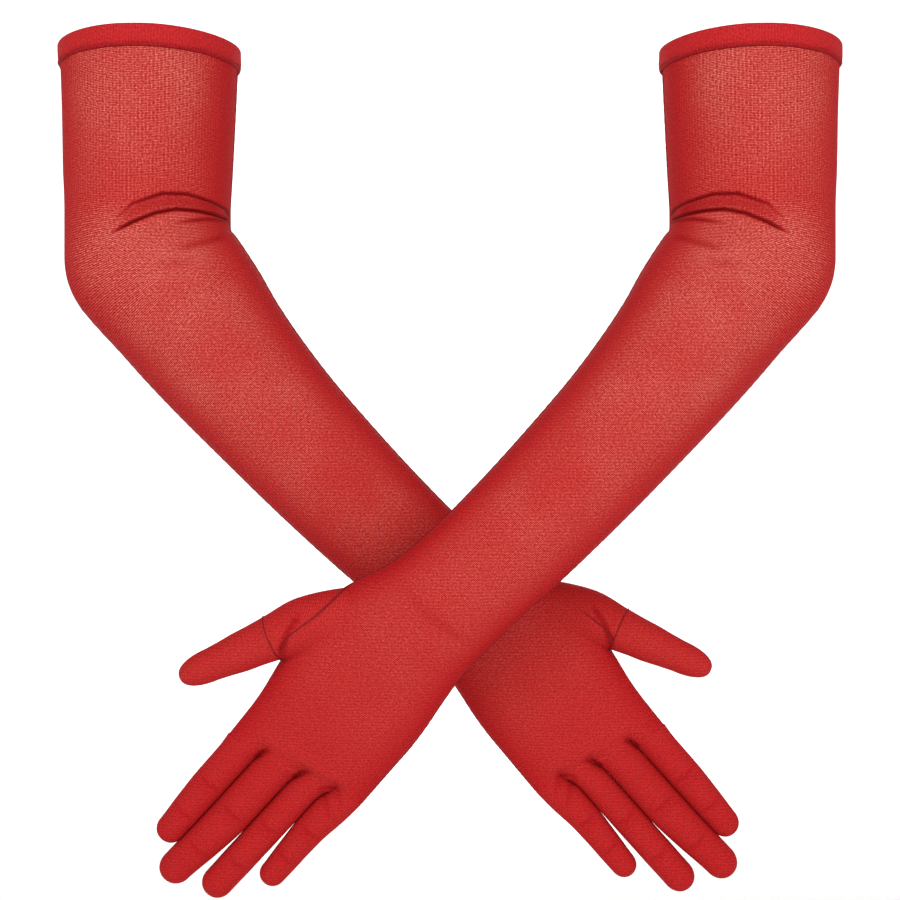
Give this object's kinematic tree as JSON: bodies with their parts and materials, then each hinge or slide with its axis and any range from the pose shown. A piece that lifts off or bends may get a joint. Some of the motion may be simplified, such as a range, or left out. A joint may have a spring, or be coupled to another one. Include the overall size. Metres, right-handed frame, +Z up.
{
  "type": "opera gloves",
  "caption": "Pair of long sheer mesh opera gloves, shaped as worn with crossed forearms, with turned elastic hems, side seams and set-in thumbs.",
  "frame": {"origin": "midway between the two sleeve mouths, level with the top edges of the hems, where the wearer's arms hold the gloves", "axes": "+Z up along the upper sleeves, +X towards the right glove's upper sleeve, -Y the way both palms face"},
  "size_m": [0.3896, 0.094, 0.4221],
  "materials": {
    "stretch_mesh": "sheer fine net, soft sheen",
    "folded_hem": "double layer of the same net, denser",
    "seam_thread": "matte overlocked thread",
    "elastic_tape": "matte woven elastic"
  },
  "bodies": {
    "right_upper_arm": {"right_hem": "folded_hem", "right_hem_elastic": "elastic_tape", "right_upper_sleeve_palm_side": "stretch_mesh", "right_upper_sleeve_back_side": "stretch_mesh", "right_upper_ulnar_seam": "seam_thread", "right_upper_radial_seam": "seam_thread", "right_elbow_sleeve": "stretch_mesh"},
    "right_forearm": {"right_forearm_palm_side": "stretch_mesh", "right_forearm_back_side": "stretch_mesh", "right_forearm_ulnar_seam": "seam_thread", "right_forearm_radial_seam": "seam_thread", "right_wrist_sleeve": "stretch_mesh"},
    "right_hand": {"right_palm_panel": "stretch_mesh", "right_back_panel": "stretch_mesh", "right_thumb_gusset": "stretch_mesh", "right_hand_ulnar_seam": "seam_thread"},
    "right_thumb_base": {"right_thumb_base": "stretch_mesh"},
    "right_thumb_tip": {"right_thumb_tip": "stretch_mesh"},
    "right_index_finger_base": {"right_index_finger_base": "stretch_mesh"},
    "right_index_finger_tip": {"right_index_finger_tip": "stretch_mesh"},
    "right_middle_finger_base": {"right_middle_finger_base": "stretch_mesh"},
    "right_middle_finger_tip": {"right_middle_finger_tip": "stretch_mesh"},
    "right_ring_finger_base": {"right_ring_finger_base": "stretch_mesh"},
    "right_ring_finger_tip": {"right_ring_finger_tip": "stretch_mesh"},
    "right_little_finger_base": {"right_little_finger_base": "stretch_mesh"},
    "right_little_finger_tip": {"right_little_finger_tip": "stretch_mesh"},
    "left_upper_arm": {"left_hem": "folded_hem", "left_hem_elastic": "elastic_tape", "left_upper_sleeve_palm_side": "stretch_mesh", "left_upper_sleeve_back_side": "stretch_mesh", "left_upper_ulnar_seam": "seam_thread", "left_upper_radial_seam": "seam_thread", "left_elbow_sleeve": "stretch_mesh"},
    "left_forearm": {"left_forearm_palm_side": "stretch_mesh", "left_forearm_back_side": "stretch_mesh", "left_forearm_ulnar_seam": "seam_thread", "left_forearm_radial_seam": "seam_thread", "left_wrist_sleeve": "stretch_mesh"},
    "left_hand": {"left_palm_panel": "stretch_mesh", "left_back_panel": "stretch_mesh", "left_thumb_gusset": "stretch_mesh", "left_hand_ulnar_seam": "seam_thread"},
    "left_thumb_base": {"left_thumb_base": "stretch_mesh"},
    "left_thumb_tip": {"left_thumb_tip": "stretch_mesh"},
    "left_index_finger_base": {"left_index_finger_base": "stretch_mesh"},
    "left_index_finger_tip": {"left_index_finger_tip": "stretch_mesh"},
    "left_middle_finger_base": {"left_middle_finger_base": "stretch_mesh"},
    "left_middle_finger_tip": {"left_middle_finger_tip": "stretch_mesh"},
    "left_ring_finger_base": {"left_ring_finger_base": "stretch_mesh"},
    "left_ring_finger_tip": {"left_ring_finger_tip": "stretch_mesh"},
    "left_little_finger_base": {"left_little_finger_base": "stretch_mesh"},
    "left_little_finger_tip": {"left_little_finger_tip": "stretch_mesh"}
  },
  "joints": [
    {"name": "right_elbow_bend", "type": "hinge", "parent": "right_upper_arm", "child": "right_forearm", "pos_m": [0.15, 0, -0.106], "axis": [0, -1, 0], "range_deg": [0, 42], "deforming": ["right_elbow_sleeve"]},
    {"name": "right_wrist_bend", "type": "hinge", "parent": "right_forearm", "child": "right_hand", "pos_m": [-0.00554, -0.027, -0.27814], "axis": [-0.742, 0, 0.6704], "range_deg": [-20, 60], "deforming": ["right_wrist_sleeve"]},
    {"name": "right_thumb_base_bend", "type": "hinge", "parent": "right_hand", "child": "right_thumb_base", "pos_m": [-0.08652, -0.03439, -0.2913], "axis": [-0.3905, 0, 0.9206], "range_deg": [0, 50]},
    {"name": "right_thumb_tip_bend", "type": "hinge", "parent": "right_thumb_base", "child": "right_thumb_tip", "pos_m": [-0.10119, -0.0319, -0.29787], "axis": [-0.404, 0, 0.9147], "range_deg": [0, 60]},
    {"name": "right_index_finger_base_bend", "type": "hinge", "parent": "right_hand", "child": "right_index_finger_base", "pos_m": [-0.0999, -0.02499, -0.34371], "axis": [-0.742, 0, 0.6704], "range_deg": [0, 75]},
    {"name": "right_index_finger_tip_bend", "type": "hinge", "parent": "right_index_finger_base", "child": "right_index_finger_tip", "pos_m": [-0.11792, -0.01849, -0.36366], "axis": [-0.742, 0, 0.6704], "range_deg": [0, 80]},
    {"name": "right_middle_finger_base_bend", "type": "hinge", "parent": "right_hand", "child": "right_middle_finger_base", "pos_m": [-0.0818, -0.02557, -0.35336], "axis": [-0.742, 0, 0.6704], "range_deg": [0, 75]},
    {"name": "right_middle_finger_tip_bend", "type": "hinge", "parent": "right_middle_finger_base", "child": "right_middle_finger_tip", "pos_m": [-0.10635, -0.01944, -0.37815], "axis": [-0.742, 0, 0.6704], "range_deg": [0, 80]},
    {"name": "right_ring_finger_base_bend", "type": "hinge", "parent": "right_hand", "child": "right_ring_finger_base", "pos_m": [-0.06451, -0.02612, -0.36257], "axis": [-0.742, 0, 0.6704], "range_deg": [0, 75]},
    {"name": "right_ring_finger_tip_bend", "type": "hinge", "parent": "right_ring_finger_base", "child": "right_ring_finger_tip", "pos_m": [-0.08772, -0.01983, -0.38617], "axis": [-0.742, 0, 0.6704], "range_deg": [0, 80]},
    {"name": "right_little_finger_base_bend", "type": "hinge", "parent": "right_hand", "child": "right_little_finger_base", "pos_m": [-0.04996, -0.02659, -0.37033], "axis": [-0.742, 0, 0.6704], "range_deg": [0, 75]},
    {"name": "right_little_finger_tip_bend", "type": "hinge", "parent": "right_little_finger_base", "child": "right_little_finger_tip", "pos_m": [-0.06649, -0.01967, -0.38893], "axis": [-0.742, 0, 0.6704], "range_deg": [0, 80]},
    {"name": "left_elbow_bend", "type": "hinge", "parent": "left_upper_arm", "child": "left_forearm", "pos_m": [-0.15, 0, -0.106], "axis": [0, 1, 0], "range_deg": [0, 42], "deforming": ["left_elbow_sleeve"]},
    {"name": "left_wrist_bend", "type": "hinge", "parent": "left_forearm", "child": "left_hand", "pos_m": [0.00554, 0.027, -0.27814], "axis": [-0.742, 0, -0.6704], "range_deg": [-60, 10], "deforming": ["left_wrist_sleeve"]},
    {"name": "left_thumb_base_bend", "type": "hinge", "parent": "left_hand", "child": "left_thumb_base", "pos_m": [0.08443, 0.0049, -0.29042], "axis": [-0.3905, 0, -0.9206], "range_deg": [0, 50]},
    {"name": "left_thumb_tip_bend", "type": "hinge", "parent": "left_thumb_base", "child": "left_thumb_tip", "pos_m": [0.09941, 0.00393, -0.29708], "axis": [-0.404, 0, -0.9147], "range_deg": [0, 60]},
    {"name": "left_index_finger_base_bend", "type": "hinge", "parent": "left_hand", "child": "left_index_finger_base", "pos_m": [0.0999, 0.00299, -0.34371], "axis": [-0.742, 0, -0.6704], "range_deg": [0, 75]},
    {"name": "left_index_finger_tip_bend", "type": "hinge", "parent": "left_index_finger_base", "child": "left_index_finger_tip", "pos_m": [0.11792, 0.00318, -0.36366], "axis": [-0.742, 0, -0.6704], "range_deg": [0, 80]},
    {"name": "left_middle_finger_base_bend", "type": "hinge", "parent": "left_hand", "child": "left_middle_finger_base", "pos_m": [0.0818, 0.00357, -0.35336], "axis": [-0.742, 0, -0.6704], "range_deg": [0, 75]},
    {"name": "left_middle_finger_tip_bend", "type": "hinge", "parent": "left_middle_finger_base", "child": "left_middle_finger_tip", "pos_m": [0.10635, 0.00153, -0.37815], "axis": [-0.742, 0, -0.6704], "range_deg": [0, 80]},
    {"name": "left_ring_finger_base_bend", "type": "hinge", "parent": "left_hand", "child": "left_ring_finger_base", "pos_m": [0.06451, 0.00413, -0.36257], "axis": [-0.742, 0, -0.6704], "range_deg": [0, 75]},
    {"name": "left_ring_finger_tip_bend", "type": "hinge", "parent": "left_ring_finger_base", "child": "left_ring_finger_tip", "pos_m": [0.08772, 0.00266, -0.38617], "axis": [-0.742, 0, -0.6704], "range_deg": [0, 80]},
    {"name": "left_little_finger_base_bend", "type": "hinge", "parent": "left_hand", "child": "left_little_finger_base", "pos_m": [0.04996, 0.00459, -0.37033], "axis": [-0.742, 0, -0.6704], "range_deg": [0, 75]},
    {"name": "left_little_finger_tip_bend", "type": "hinge", "parent": "left_little_finger_base", "child": "left_little_finger_tip", "pos_m": [0.06649, 0.00566, -0.38893], "axis": [-0.742, 0, -0.6704], "range_deg": [0, 80]},
    {"name": "pair_gap", "type": "slide", "parent": "right_upper_arm", "child": "left_upper_arm", "axis": [0, 1, 0], "range_m": [0, 0.12]}
  ]
}
